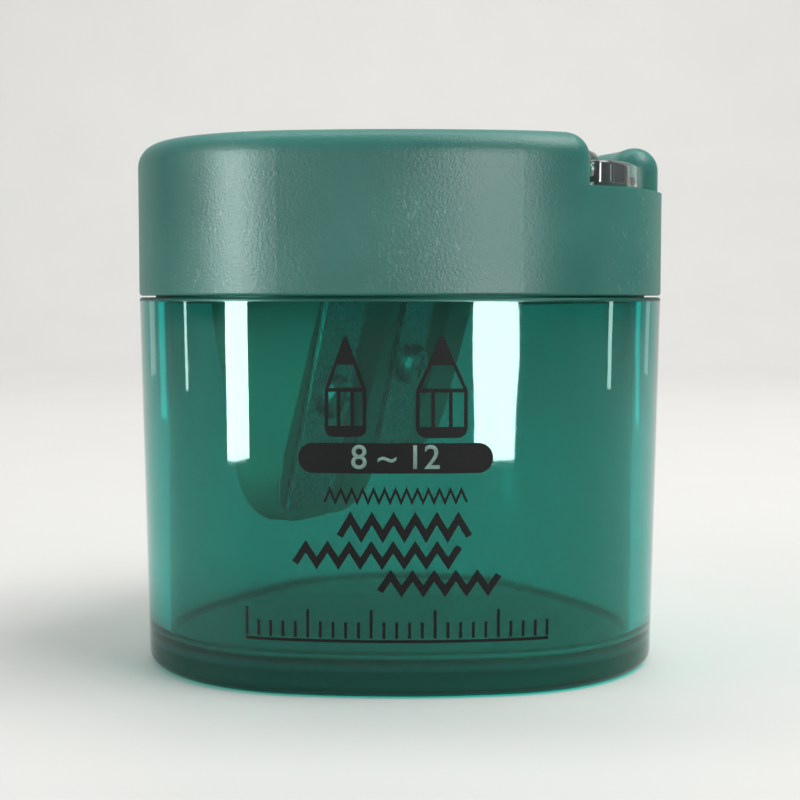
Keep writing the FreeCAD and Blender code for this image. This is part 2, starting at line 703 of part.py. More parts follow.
def edge_line(dims, name):
    """The cutting edge in the seat's plane: its top point, and how far it leans from upright."""
    radius = getattr(dims, name + "_hole") / 2
    centre = getattr(dims, name + "_hole_x")
    length = getattr(dims, name + "_blade_length") * dims.edge_share

    def across(drop):
        here = radius - drop * math.sin(math.radians(dims.cone_angle))
        chord = max(2 * here * dims.slot_depth - dims.slot_depth ** 2, dims.edge_least_reach ** 2)
        return centre - math.sqrt(chord)
    top = across(dims.blade_start)
    low = across(dims.blade_start + length)
    return top, math.degrees(math.atan2(low - top, length))


def screw_spot(dims, name):
    """The middle of a blade's width, at the height of its screw."""
    top, lean = edge_line(dims, name)
    drop = getattr(dims, name + "_screw_drop")
    shift = (drop - dims.blade_start) * math.tan(math.radians(lean))
    return top + shift - getattr(dims, name + "_blade_width") / 2 - dims.screw_shift, -drop


def make_blade(doc, dims, name, label):
    """A flat steel plate, sharpened along the edge that lies in the cone."""
    body = new_body(doc, label)
    top, lean = edge_line(dims, name)
    outline = new_sketch(body, name + "_blade_outline")
    rectangle(outline, "-Dims.%s_blade_width" % name, "0", "-Dims.%s_blade_length" % name, "0")
    pad(body, outline, "Dims.blade_thick")
    far_side = -getattr(dims, name + "_blade_width")
    round_edges(body, "Dims.blade_round",
                lambda e: is_upright(e) and abs(e.BoundBox.Center.x - far_side) < NEAR)
    bevel = new_sketch(body, name + "_edge_bevel", role="XZ_Plane", rise="-%g" % MARGIN)
    polygon(bevel, [("Dims.bevel_over", "Dims.edge_thick"),
                    ("Dims.bevel_over", "Dims.blade_thick + Dims.bevel_over"),
                    ("-Dims.edge_bevel", "Dims.blade_thick + Dims.bevel_over"),
                    ("-Dims.edge_bevel", "Dims.blade_thick"),
                    ("0", "Dims.edge_thick")])
    pocket(body, bevel, "2 * (Dims.%s_blade_length + %g)" % (name, 2 * MARGIN), both_ways=True)
    hole = new_sketch(body, name + "_blade_hole", rise="Dims.blade_thick")
    spot_x, spot_y = screw_spot(dims, name)
    inward = Placement(Vector(top, -dims.blade_start, 0), Rotation(UP, lean)).inverse()
    spot = inward.multVec(Vector(spot_x, spot_y, 0))
    circle(hole, "%g" % spot.x, "%g" % spot.y, "Dims.shank_radius + 2 * Dims.shank_clearance")
    pocket(body, hole, "2 * Dims.blade_thick")
    place = seat_place(dims) * Placement(Vector(top, -dims.blade_start, 0), Rotation(UP, lean))
    return body, place


def make_screw(doc, label, head_radius, rise, length):
    """A round-headed screw with a cross recess; its seat is at the origin and it points down.

    The bare factors are shares of the shank's radius and of the head's radius and rise.
    """
    body = new_body(doc, label)
    profile = new_sketch(body, label + "_profile", role="XZ_Plane")
    polygon(profile, [("0", "-(%s)" % length), ("Dims.shank_radius * 0.7", "-(%s)" % length),
                      ("Dims.shank_radius", "-(%s) + Dims.shank_radius * 0.5" % length),
                      ("Dims.shank_radius", "0"), (head_radius, "0"),
                      (head_radius, "(%s) * 0.45" % rise),
                      ("(%s) * 0.82" % head_radius, "(%s) * 0.85" % rise),
                      ("(%s) * 0.5" % head_radius, rise), ("0", rise)])
    turned(body, profile, "Revolution")
    cross = new_sketch(body, label + "_recess", rise=rise)
    arm = "Dims.recess_length / 2"
    thin = "Dims.recess_width / 2"
    polygon(cross, [("-" + arm, "-" + thin), ("-" + thin, "-" + thin), ("-" + thin, "-" + arm),
                    (thin, "-" + arm), (thin, "-" + thin), (arm, "-" + thin),
                    (arm, thin), (thin, thin), (thin, arm), ("-" + thin, arm), ("-" + thin, thin),
                    ("-" + arm, thin)])
    pocket(body, cross, "Dims.recess_depth")
    return body


def make_pin(doc, dims):
    body = new_body(doc, "hinge_pin")
    sketch = new_sketch(body, "pin_section", role="YZ_Plane")
    circle(sketch, "Dims.hinge_out", "Dims.hinge_height", "Dims.pin_radius")
    pad(body, sketch, "Dims.pin_length", both_ways=True)
    round_edges(body, "Dims.pin_chamfer", lambda e: e.BoundBox.XLength < 1e-4, kind="Chamfer")
    return body


# ---- the whole sharpener ----------------------------------------------------------------------

def build(doc, dims):
    """Every sub-part, with its place before the common turn."""
    here = Placement()
    parts = [(make_container(doc, dims), here), (make_head(doc, dims), here), (make_lid(doc, dims), here),
             (make_block(doc, dims), here), (make_pin(doc, dims), here)]
    for name, size in (("large", "12mm"), ("small", "8mm")):
        parts.append(make_blade(doc, dims, name, "blade_" + size))
        across, up = screw_spot(dims, name)
        screw = make_screw(doc, "blade_screw_" + size, "Dims.blade_screw_head", "Dims.blade_screw_rise",
                           "Dims.shank_length")
        place = seat_place(dims) * Placement(Vector(across, up, dims.blade_thick), Rotation())
        parts.append((screw, place))
    fixing = make_screw(doc, "block_screw", "Dims.block_screw_head", "Dims.block_screw_rise",
                        "Dims.deck_top - Dims.counterbore_depth - Dims.tongue_low")
    head_seat = Vector(0, dims.screw_place_y, dims.deck_top - dims.counterbore_depth)
    parts.append((fixing, Placement(head_seat, Rotation(UP, 20))))
    turn = Placement(Vector(), Rotation(UP, dims.turn))
    for body, place in parts:
        body.Placement = turn * place
    doc.recompute()
    return [body for body, _ in parts]


def check(doc, bodies):
    bad = [o.Name for o in doc.Objects if "Invalid" in o.State or "Error" in o.State]
    bad += [b.Label for b in bodies if b.Shape.isNull() or not b.Shape.isValid() or not b.Shape.Solids]
    bad += [b.Label for b in bodies if len(b.Shape.Solids) != 1]
    if bad:
        raise RuntimeError("failed: " + ", ".join(bad))


def main():
    doc = FreeCAD.newDocument("sharpener")
    dims = make_sheet(doc)
    bodies = build(doc, dims)
    check(doc, bodies)
    os.makedirs("parts", exist_ok=True)
    for body in bodies:
        body.Shape.exportStep("parts/%s.step" % body.Label)
        print("%-18s %9.1f mm3" % (body.Label, body.Shape.Volume))


main()
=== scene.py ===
# A two-hole pencil sharpener with a clear teal container, standing on a pale desk.
import math

import bmesh
import bpy
from mathutils import Matrix, Vector


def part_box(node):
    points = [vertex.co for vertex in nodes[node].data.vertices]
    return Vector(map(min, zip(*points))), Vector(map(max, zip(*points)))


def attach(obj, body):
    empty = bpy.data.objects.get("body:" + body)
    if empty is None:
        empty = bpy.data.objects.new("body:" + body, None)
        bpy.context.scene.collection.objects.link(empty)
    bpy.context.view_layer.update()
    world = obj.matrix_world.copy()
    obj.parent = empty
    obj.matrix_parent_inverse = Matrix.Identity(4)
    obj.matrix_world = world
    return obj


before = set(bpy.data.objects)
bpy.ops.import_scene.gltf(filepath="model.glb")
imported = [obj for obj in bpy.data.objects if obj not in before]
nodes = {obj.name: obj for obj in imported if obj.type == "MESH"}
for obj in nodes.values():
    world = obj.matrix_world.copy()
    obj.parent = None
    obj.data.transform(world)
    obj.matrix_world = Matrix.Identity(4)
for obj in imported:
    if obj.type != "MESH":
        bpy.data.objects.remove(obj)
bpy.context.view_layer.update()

mm = 0.001
print("frame loaded:", len(nodes), "nodes")


# small helpers

# sRGB hex to a linear colour with full alpha
def linear(hexColour):
    parts = [int(hexColour[i:i + 2], 16) / 255 for i in (1, 3, 5)]
    return [p / 12.92 if p <= 0.04045 else ((p + 0.055) / 1.055) ** 2.4 for p in parts] + [1.0]


def addNode(tree, kind, inputs=None, **settings):
    made = tree.nodes.new(kind)
    for name, value in settings.items():
        setattr(made, name, value)
    for socket, value in (inputs or {}).items():
        if isinstance(value, bpy.types.NodeSocket):
            tree.links.new(value, made.inputs[socket])
        else:
            made.inputs[socket].default_value = value
    return made


def newMaterial(name):
    material = bpy.data.materials.new(name)
    material.use_nodes = True
    material.node_tree.nodes.clear()
    return material, material.node_tree


def finishMaterial(tree, surface, volume=None):
    inputs = {"Surface": surface.outputs[0]}
    if volume:
        inputs["Volume"] = volume.outputs[0]
    addNode(tree, "ShaderNodeOutputMaterial", inputs)


# Noise on Object coordinates whose grains are about grainMm across
def noiseAt(tree, grainMm, detail=3.0, stretch=(1, 1, 1), roughness=0.5):
    place = addNode(tree, "ShaderNodeTexCoord")
    scaled = addNode(tree, "ShaderNodeMapping", {"Vector": place.outputs["Object"], "Scale": stretch})
    return addNode(tree, "ShaderNodeTexNoise", {"Vector": scaled.outputs[0], "Scale": 1 / (grainMm * mm),
                                                "Detail": detail, "Roughness": roughness})


def ramp(tree, factor, stops):
    made = addNode(tree, "ShaderNodeValToRGB", {"Fac": factor})
    elements = made.color_ramp.elements
    while len(elements) < len(stops):
        elements.new(0.5)
    for element, (position, colour) in zip(elements, stops):
        element.position = position
        element.color = colour
    return made


def grey(level):
    return (level, level, level, 1.0)


def remap(tree, factor, low, high):
    return addNode(tree, "ShaderNodeMapRange", {"Value": factor, "To Min": low, "To Max": high})


# Lamps shine through a clear wall in its own tint, so that what stands inside is lit
def litThrough(tree, skin, tint):
    path = addNode(tree, "ShaderNodeLightPath")
    through = addNode(tree, "ShaderNodeBsdfTransparent", {"Color": linear(tint)})
    return addNode(tree, "ShaderNodeMixShader", {0: path.outputs["Is Shadow Ray"], 1: skin.outputs[0],
                                                 2: through.outputs[0]})


# materials

satinTeal = {
    # the pale speckle colour, its share and its size are painted glints: light caught by the satin grain
    "base": "#236a60", "worn": "#327b70", "paintedGlint": "#8fbcb0", "paintedGlintShare": 0.3,
    "grainMm": 0.22, "grainDeep": 0.05, "grainStrength": 0.6,   # really about 0.05 mm; coarser, to show
    "paintedGlintMm": 0.5, "streakMm": 11.0, "patchMm": 9.0, "roughness": 0.4, "ior": 1.49, "specular": 0.35,
    "glow": 0.12, "glowMm": 1.2, "glowReach": (1.0, 1.6, 1.4),
}
# the block is the head's plastic; its base and worn colours are painted lighter to make up for the shade
# inside the container
satinBlockPaintedLighter = dict(satinTeal, base="#2a8577", worn="#379285", grainDeep=0.015)


# Polypropylene from a spark-eroded mould: even satin skin, with pale speckles in streaky patches painted into
# the colour as glints of light caught by the grain
def makeSatinTeal(name, look):
    material, tree = newMaterial(name)
    patches = noiseAt(tree, look["patchMm"], 4.0)
    colour = ramp(tree, patches.outputs[0], [(0.3, linear(look["base"])), (0.8, linear(look["worn"]))])
    # painted highlight: pale glint speckles, only inside streaky zones
    glintSpecks = ramp(tree, noiseAt(tree, look["paintedGlintMm"], 3.0, (1, 1, 0.7), 0.7).outputs[0],
                  [(0.60, grey(0)), (0.68, grey(1))])
    zoneAmount = ramp(tree, noiseAt(tree, look["streakMm"], 2.0, (1, 1, 0.5)).outputs[0],
                  [(0.52, grey(0)), (0.66, grey(1))])
    both = addNode(tree, "ShaderNodeMath", {0: glintSpecks.outputs[0], 1: zoneAmount.outputs[0]}, operation="MULTIPLY")
    share = remap(tree, both.outputs[0], 0.0, look["paintedGlintShare"])
    pale = addNode(tree, "ShaderNodeMix", {0: share.outputs[0], 6: colour.outputs[0],
                                           7: linear(look["paintedGlint"])}, data_type="RGBA")
    grain = noiseAt(tree, look["grainMm"], 2.0)
    bump = addNode(tree, "ShaderNodeBump", {
        "Height": grain.outputs[0], "Strength": look["grainStrength"], "Distance": look["grainDeep"] * mm})
    gloss = remap(tree, patches.outputs[0], look["roughness"] - 0.06, look["roughness"] + 0.08)
    skin = addNode(tree, "ShaderNodeBsdfPrincipled", {
        "Base Color": pale.outputs[2], "Roughness": gloss.outputs[0], "IOR": look["ior"],
        "Subsurface Weight": look["glow"], "Subsurface Radius": look["glowReach"],
        "Subsurface Scale": look["glowMm"] * mm, "Specular IOR Level": look["specular"],
        "Normal": bump.outputs[0]})
    finishMaterial(tree, skin)
    return material


clearTeal = {
    "tint": "#2fb0a6", "footAndSeamShadeTint": "#005548", "shade": "#d8f5ee",
    "gleam": "#c2f8ee", "specular": 0.16, "ior": 1.57,          # a slightly green surface reflection
    "absorb": (0.05, 0.955, 0.95, 1.0), "density": 1000.0,
    "roughness": 0.03, "streakMm": 1.4, "rubGloss": 0.16,
    "seamBandFrom": 31.7, "seamBandFade": 0.1, "rubbedRoughness": 0.4,     # shoulder and neck: dulled by the head, and darkened as painted shade at the seam
    "footTop": 2.9, "footFade": 0.8, "footAndSeamClear": 0.66,
    "flowMm": 10.0, "flowDeep": 0.15, "flowStrength": 0.4,
}


# Tinted polystyrene from a polished mould, so glossy and faintly wavy; the thick foot scatters the tint, and
# the rubbed shoulder is dulled and darkened to the same tint as painted shade at the seam
def makeClearTeal():
    material, tree = newMaterial("clearTealPolystyrene")
    look = clearTeal
    rubs = noiseAt(tree, look["streakMm"], 5.0, (1, 1, 0.2), 0.65)
    rubMask = ramp(tree, rubs.outputs[0], [(0.58, grey(0)), (0.78, grey(1))])
    place = addNode(tree, "ShaderNodeTexCoord")
    height = addNode(tree, "ShaderNodeSeparateXYZ", {0: place.outputs["Object"]})
    foot = addNode(tree, "ShaderNodeMapRange", {
        "Value": height.outputs["Z"], "From Min": (look["footTop"] - look["footFade"]) * mm,
        "From Max": look["footTop"] * mm, "To Min": 1.0, "To Max": 0.0})
    shoulder = addNode(tree, "ShaderNodeMapRange", {
        "Value": height.outputs["Z"], "From Min": look["seamBandFrom"] * mm,
        "From Max": (look["seamBandFrom"] + look["seamBandFade"]) * mm})
    # the foot is darker for its thickness; the shoulder band takes the same dark tint as painted shade at the
    # seam under the head
    thick = addNode(tree, "ShaderNodeMath", {0: foot.outputs[0], 1: shoulder.outputs[0]}, operation="MAXIMUM")
    colour = ramp(tree, thick.outputs[0], [(0.0, linear(look["tint"])), (1.0, linear(look["footAndSeamShadeTint"]))])
    clear = remap(tree, thick.outputs[0], 1.0, look["footAndSeamClear"])
    gloss = remap(tree, rubMask.outputs[0], look["roughness"], look["rubGloss"])
    zoneAmount = remap(tree, shoulder.outputs[0], 0.0, look["rubbedRoughness"])
    dulled = addNode(tree, "ShaderNodeMath", {0: gloss.outputs[0], 1: zoneAmount.outputs[0]}, operation="ADD")
    waves = noiseAt(tree, look["flowMm"], 2.0, (1, 1, 0.5))
    bump = addNode(tree, "ShaderNodeBump", {
        "Height": waves.outputs[0], "Strength": look["flowStrength"], "Distance": look["flowDeep"] * mm})
    skin = addNode(tree, "ShaderNodeBsdfPrincipled", {
        "Base Color": colour.outputs[0], "Roughness": dulled.outputs[0], "IOR": look["ior"],
        "Specular IOR Level": look["specular"], "Specular Tint": linear(look["gleam"]),
        "Transmission Weight": clear.outputs[0], "Normal": bump.outputs[0]})
    depth = addNode(tree, "ShaderNodeVolumeAbsorption", {"Color": look["absorb"], "Density": look["density"]})
    finishMaterial(tree, litThrough(tree, skin, look["shade"]), depth)
    return material


clearLid = {
    "tint": "#f4f7f5", "shade": "#ccd5d2", "absorb": (0.86, 0.95, 0.92, 1.0), "density": 60.0,
    "scratchMm": 0.5, "roughness": 0.03, "scratched": 0.22, "clear": 0.985, "ior": 1.59,
}


# Water-clear polystyrene, polished, with hairline scratches from use
def makeClearLid():
    material, tree = newMaterial("waterClearPolystyrene")
    look = clearLid
    scratches = noiseAt(tree, look["scratchMm"], 4.0, (1, 0.06, 1), 0.6)
    mask = ramp(tree, scratches.outputs[0], [(0.62, grey(0)), (0.72, grey(1))])
    gloss = remap(tree, mask.outputs[0], look["roughness"], look["scratched"])
    skin = addNode(tree, "ShaderNodeBsdfPrincipled", {
        "Base Color": linear(look["tint"]), "Roughness": gloss.outputs[0], "IOR": look["ior"],
        "Transmission Weight": look["clear"]})
    depth = addNode(tree, "ShaderNodeVolumeAbsorption", {"Color": look["absorb"], "Density": look["density"]})
    finishMaterial(tree, litThrough(tree, skin, look["shade"]), depth)
    return material


steels = {
    "groundBladeSteel": {"tint": "#7d7f80", "roughness": 0.28, "run": (1, 1, 0.05)},
    "turnedScrewSteel": {"tint": "#8b8c8c", "roughness": 0.32, "run": (1, 1, 1)},
    "blackenedScrewSteel": {"tint": "#3a3a3c", "roughness": 0.4, "run": (1, 1, 1)},
    "bright": "#c9c9c6", "lineDeep": 0.01, "lineStrength": 0.3,
    "lineMm": 0.12,      # really about 0.02 mm, coarser so that the lines show
}


# Carbon steel: fine machining lines, stretched along their run, catch the light
def makeSteel(name):
    material, tree = newMaterial(name)
    look = steels[name]
    lines = noiseAt(tree, steels["lineMm"], 3.0, look["run"])
    colour = ramp(tree, lines.outputs[0], [(0.3, linear(look["tint"])), (0.75, linear(steels["bright"]))])
    bump = addNode(tree, "ShaderNodeBump", {
        "Height": lines.outputs[0], "Strength": steels["lineStrength"], "Distance": steels["lineDeep"] * mm})
    gloss = remap(tree, lines.outputs[0], look["roughness"] - 0.08, look["roughness"] + 0.1)
    skin = addNode(tree, "ShaderNodeBsdfPrincipled", {
        "Base Color": colour.outputs[0], "Roughness": gloss.outputs[0], "Metallic": 1.0,
        "Normal": bump.outputs[0]})
    finishMaterial(tree, skin)
    return material


inks = {"blackScreenInk": ("#020303", "#0b1211"), "paleScreenInk": ("#76988d", "#8fb0a5"), "mottleMm": 0.25,
        "roughness": (0.5, 0.65), "ior": 1.5, "specular": 0.12}


# Screen-printing ink: a thin, slightly uneven matt film
def makeInk(name):
    material, tree = newMaterial(name)
    dark, pale = inks[name]
    mottle = noiseAt(tree, inks["mottleMm"], 3.0)
    colour = ramp(tree, mottle.outputs[0], [(0.3, linear(dark)), (0.85, linear(pale))])
    gloss = remap(tree, mottle.outputs[0], *inks["roughness"])
    skin = addNode(tree, "ShaderNodeBsdfPrincipled", {
        "Base Color": colour.outputs[0], "Roughness": gloss.outputs[0], "IOR": inks["ior"],
        "Specular IOR Level": inks["specular"]})
    finishMaterial(tree, skin)
    return material


desk = {"low": "#c5c4c1", "high": "#c8c7c4", "cloudMm": 40.0, "roughness": 0.62, "ior": 1.45}


# Pale matt laminate, almost even
def makeDesk():
    material, tree = newMaterial("paleLaminate")
    cloud = noiseAt(tree, desk["cloudMm"], 3.0)
    colour = ramp(tree, cloud.outputs[0], [(0.3, linear(desk["low"])), (0.8, linear(desk["high"]))])
    skin = addNode(tree, "ShaderNodeBsdfPrincipled", {
        "Base Color": colour.outputs[0], "Roughness": desk["roughness"], "IOR": desk["ior"]})
    finishMaterial(tree, skin)
    return material


def dress(nodeName, material):
    for slot in nodes[nodeName].material_slots:
        slot.material = material


headPlastic = makeSatinTeal("satinTealPolypropylene", satinTeal)
# painted light: the block's satin is a lighter copy of the head's
blockPlasticPaintedLighter = makeSatinTeal("satinTealBlockPaintedLighter", satinBlockPaintedLighter)
tealGlass = makeClearTeal()
lidGlass = makeClearLid()
bladeSteel = makeSteel("groundBladeSteel")
screwSteel = makeSteel("turnedScrewSteel")
darkSteel = makeSteel("blackenedScrewSteel")
ink = makeInk("blackScreenInk")
paleInk = makeInk("paleScreenInk")
dress("container", tealGlass)
dress("head_shell", headPlastic)
dress("lid", lidGlass)
dress("sharpener_block", blockPlasticPaintedLighter)
dress("hinge_pin", screwSteel)
for size in ("12mm", "8mm"):
    dress("blade_" + size, bladeSteel)
    dress("blade_screw_" + size, screwSteel)
dress("block_screw", darkSteel)
print("materials on CAD nodes")


# the printed front: flat shapes in millimetres, laid on the container's broad wall

wall = {"cornerRadius": 16.3, "sideRadius": 52.8, "baseInset": 0.6, "shoulder": 32.05,
        "lean": 30,     # degrees at a corner's centre between the front side and the line to the axis
        "width": (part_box("head_shell")[1].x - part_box("head_shell")[0].x) / mm}


# A point on the outer wall: along is measured on the surface from the middle of the front
def wallPoint(along, height, lift):
    reach = wall["width"] / 2 - wall["cornerRadius"]
    inner = reach * math.tan(math.radians(wall["lean"]))
    gap = wall["sideRadius"] - wall["cornerRadius"]
    shift = inner - math.sqrt(gap ** 2 - reach ** 2)
    spread = math.asin(reach / gap)
    inset = wall["baseInset"] * (1 - height / wall["shoulder"]) - lift
    side = wall["sideRadius"] - inset
    corner = wall["cornerRadius"] - inset
    if abs(along) <= side * spread:
        angle = along / side
        spot = Vector((side * math.sin(angle), -shift - side * math.cos(angle), height))
    else:
        angle = spread + (abs(along) - side * spread) / corner
        sign = 1 if along > 0 else -1
        spot = Vector((sign * (reach + corner * math.sin(angle)),
                       -inner - corner * math.cos(angle), height))
    return spot * mm


def arcPoints(x, y, radius, start, end, steps):
    turns = [math.radians(start + (end - start) * i / steps) for i in range(steps + 1)]
    return [(x + radius * math.cos(a), y + radius * math.sin(a)) for a in turns]


def roundedBar(left, right, low, high, radius, steps=8):
    return (arcPoints(right - radius, low + radius, radius, -90, 0, steps)
            + arcPoints(right - radius, high - radius, radius, 0, 90, steps)
            + arcPoints(left + radius, high - radius, radius, 90, 180, steps)
            + arcPoints(left + radius, low + radius, radius, 180, 270, steps))


# The outline of a pen stroke along points, with mitred turns and square ends
def stroke(points, width, sharpest=0.35):
    left, right = [], []
    for i, (x, y) in enumerate(points):
        before = points[max(i - 1, 0)]
        after = points[min(i + 1, len(points) - 1)]
        inward = Vector((x - before[0], y - before[1])) if i else Vector((after[0] - x, after[1] - y))
        onward = Vector((after[0] - x, after[1] - y)) if i < len(points) - 1 else inward
        tangent = (inward.normalized() + onward.normalized()).normalized()
        normal = Vector((-tangent.y, tangent.x))
        square = Vector((-inward.y, inward.x)).normalized()
        half = width / 2 / max(normal.dot(square), sharpest)
        left.append((x + normal.x * half, y + normal.y * half))
        right.append((x - normal.x * half, y - normal.y * half))
    return left + right[::-1]


pencilArt = {"line": 0.3, "bodyShare": 0.47, "leadShare": 0.72, "baseShare": 0.11, "tipWidth": 0.12,
             "cornerShare": 0.2, "facetShare": 0.2, "cornerSteps": 6}


# A plain pencil standing on its end: outline, three facets, a bare cone and a solid lead
def pencilLoops(x, low, width, tall):
    line = pencilArt["line"]
    half = width / 2
    bodyTop = low + tall * pencilArt["bodyShare"]
    leadLow = low + tall * pencilArt["leadShare"]
    base = low + tall * pencilArt["baseShare"]
    bend = width * pencilArt["cornerShare"]
    steps = pencilArt["cornerSteps"]

    def halfAt(height):
        return half + (pencilArt["tipWidth"] - half) * (height - bodyTop) / (low + tall - bodyTop)

    outline = (arcPoints(x + half - bend, low + bend, bend, -90, 0, steps)
               + [(x + half, bodyTop), (x + pencilArt["tipWidth"], low + tall),
                  (x - pencilArt["tipWidth"], low + tall), (x - half, bodyTop)]
               + arcPoints(x - half + bend, low + bend, bend, 180, 270, steps))
    loops = [outline]
    clear = width - 2 * line
    facet = clear * pencilArt["facetShare"]
    edges = [-clear / 2, -facet, facet, clear / 2]
    for i in range(3):
        left = x + edges[i] + (line / 2 if i else 0)
        right = x + edges[i + 1] - (line / 2 if i < 2 else 0)
        loops.append([(left, base), (right, base), (right, bodyTop - line / 2), (left, bodyTop - line / 2)])
    lowHalf = halfAt(bodyTop + line / 2) - line
    highHalf = halfAt(leadLow) - line
    loops.append([(x - lowHalf, bodyTop + line / 2), (x + lowHalf, bodyTop + line / 2),
                  (x + highHalf, leadLow), (x - highHalf, leadLow)])
    return loops


def evaluated(holder):
    depsgraph = bpy.context.evaluated_depsgraph_get()
    depsgraph.update()
    return bpy.data.meshes.new_from_object(holder.evaluated_get(depsgraph))


# Fills loops (inner ones are holes) and returns a flat mesh in millimetres
def flatMesh(loops, glyphs=None):
    data = glyphs or bpy.data.curves.new("flat", "CURVE")
    data.dimensions = "2D"
    data.fill_mode = "BOTH"
    for loop in loops:
        spline = data.splines.new("POLY")
        spline.points.add(len(loop) - 1)
        for point, (x, y) in zip(spline.points, loop):
            point.co = (x, y, 0, 1)
        spline.use_cyclic_u = True
    holder = bpy.data.objects.new("flat", data)
    bpy.context.scene.collection.objects.link(holder)
    mesh = evaluated(holder)
    bpy.data.objects.remove(holder)
    return mesh


# Figures as a flat mesh, centred on x, y
def figureMesh(text, size, bold, x, y):
    font = bpy.data.curves.new("figures", "FONT")
    font.body = text
    font.size = size
    font.align_x = "CENTER"
    font.align_y = "CENTER"
    font.offset = bold
    holder = bpy.data.objects.new("figures", font)
    bpy.context.scene.collection.objects.link(holder)
    depsgraph = bpy.context.evaluated_depsgraph_get()
    curve = holder.to_curve(depsgraph).copy()
    bpy.data.objects.remove(holder)
    mesh = flatMesh([], curve)
    mesh.transform(Matrix.Translation((x, y, 0)))
    return mesh


# how far the ink stands off the wall, how thick it is and how the flat art is cut before it is bent
film = {"lift": 0.012, "overLift": 0.034, "thick": 0.02, "column": 0.6, "reach": 20, "weld": 0.001}


# Joins flat meshes, cuts them into narrow columns and bends them onto the wall
def printPiece(name, meshes, material, lift=film["lift"]):
    shape = bmesh.new()
    for mesh in meshes:
        shape.from_mesh(mesh)
    bmesh.ops.remove_doubles(shape, verts=shape.verts, dist=film["weld"])
    columns = int(film["reach"] / film["column"])
    for i in range(-columns, columns + 1):
        bmesh.ops.bisect_plane(shape, geom=shape.verts[:] + shape.edges[:] + shape.faces[:],
                               plane_co=(i * film["column"], 0, 0), plane_no=(1, 0, 0))
    bmesh.ops.triangulate(shape, faces=shape.faces)
    for face in shape.faces:
        if face.normal.z < 0:
            face.normal_flip()
    border = [e for e in shape.edges if e.is_boundary]
    under = {}
    for vert in shape.verts[:]:
        under[vert] = shape.verts.new(vert.co)
    for face in shape.faces[:]:
        shape.faces.new([under[v] for v in reversed(face.verts)])
    for edge in border:
        loop = edge.link_loops[0]
        a, b = loop.vert, loop.link_loop_next.vert
        shape.faces.new([b, a, under[a], under[b]])
    top = set(under)
    for vert in shape.verts:
        height = lift + film["thick"] if vert in top else lift
        vert.co = wallPoint(vert.co.x, vert.co.y, height)
    mesh = bpy.data.meshes.new(name)
    shape.to_mesh(mesh)
    shape.free()
    piece = bpy.data.objects.new(name, mesh)
    bpy.context.scene.collection.objects.link(piece)
    mesh.materials.append(material)
    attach(piece, "container")


# A bold zigzag, as a pencil leaves when it is tried out
def scribble(left, right, low, high, turns, width):
    points = []
    inset = width / 2
    for i in range(turns + 1):
        height = high - inset if i % 2 else low + inset
        points.append((left + (right - left) * (i / turns), height))
    return stroke(points, width)


# places in millimetres from the middle of the front and from the desk
printArt = {
    "pencils": [(-4.3, 21.1, 3.3, 7.9), (3.3, 21.0, 4.1, 8.0)],   # x, foot, width, height
    "pill": (-8.1, 7.4, 18.2, 20.6), "pillFlat": 0.01,
    "figures": "8 ~ 12", "figureSize": 2.7, "figureBold": 0.02,
    "fineRow": (-6.0, 5.3, 15.8, 17.0, 26), "fineWidth": 0.2,     # left, right, low, high, turns
    "boldRows": [(-4.8, 5.5, 12.9, 14.9, 12), (-8.4, 4.7, 10.7, 12.6, 15), (-1.6, 7.9, 8.5, 10.3, 11)],
    "boldWidth": 0.55,
    "ruler": {"Left": -12.5, "Foot": 4.95, "Gap": 1.02, "Width": 0.24, "Short": 1.3, "Long": 2.3,
              "Rail": 0.24, "Count": 25, "Every": 5},
}


# Named inputs with their defaults; returns the modifier's identifiers by name
def groupInputs(tree, values):
    names = {}
    for name, number in values.items():
        kind = "NodeSocketInt" if isinstance(number, int) else "NodeSocketFloat"
        socket = tree.interface.new_socket(name, in_out="INPUT", socket_type=kind)
        socket.default_value = number
        names[name] = socket.identifier
    return names


def mathNode(tree, operation, first, second):
    return addNode(tree, "ShaderNodeMath", {0: first, 1: second}, operation=operation).outputs[0]


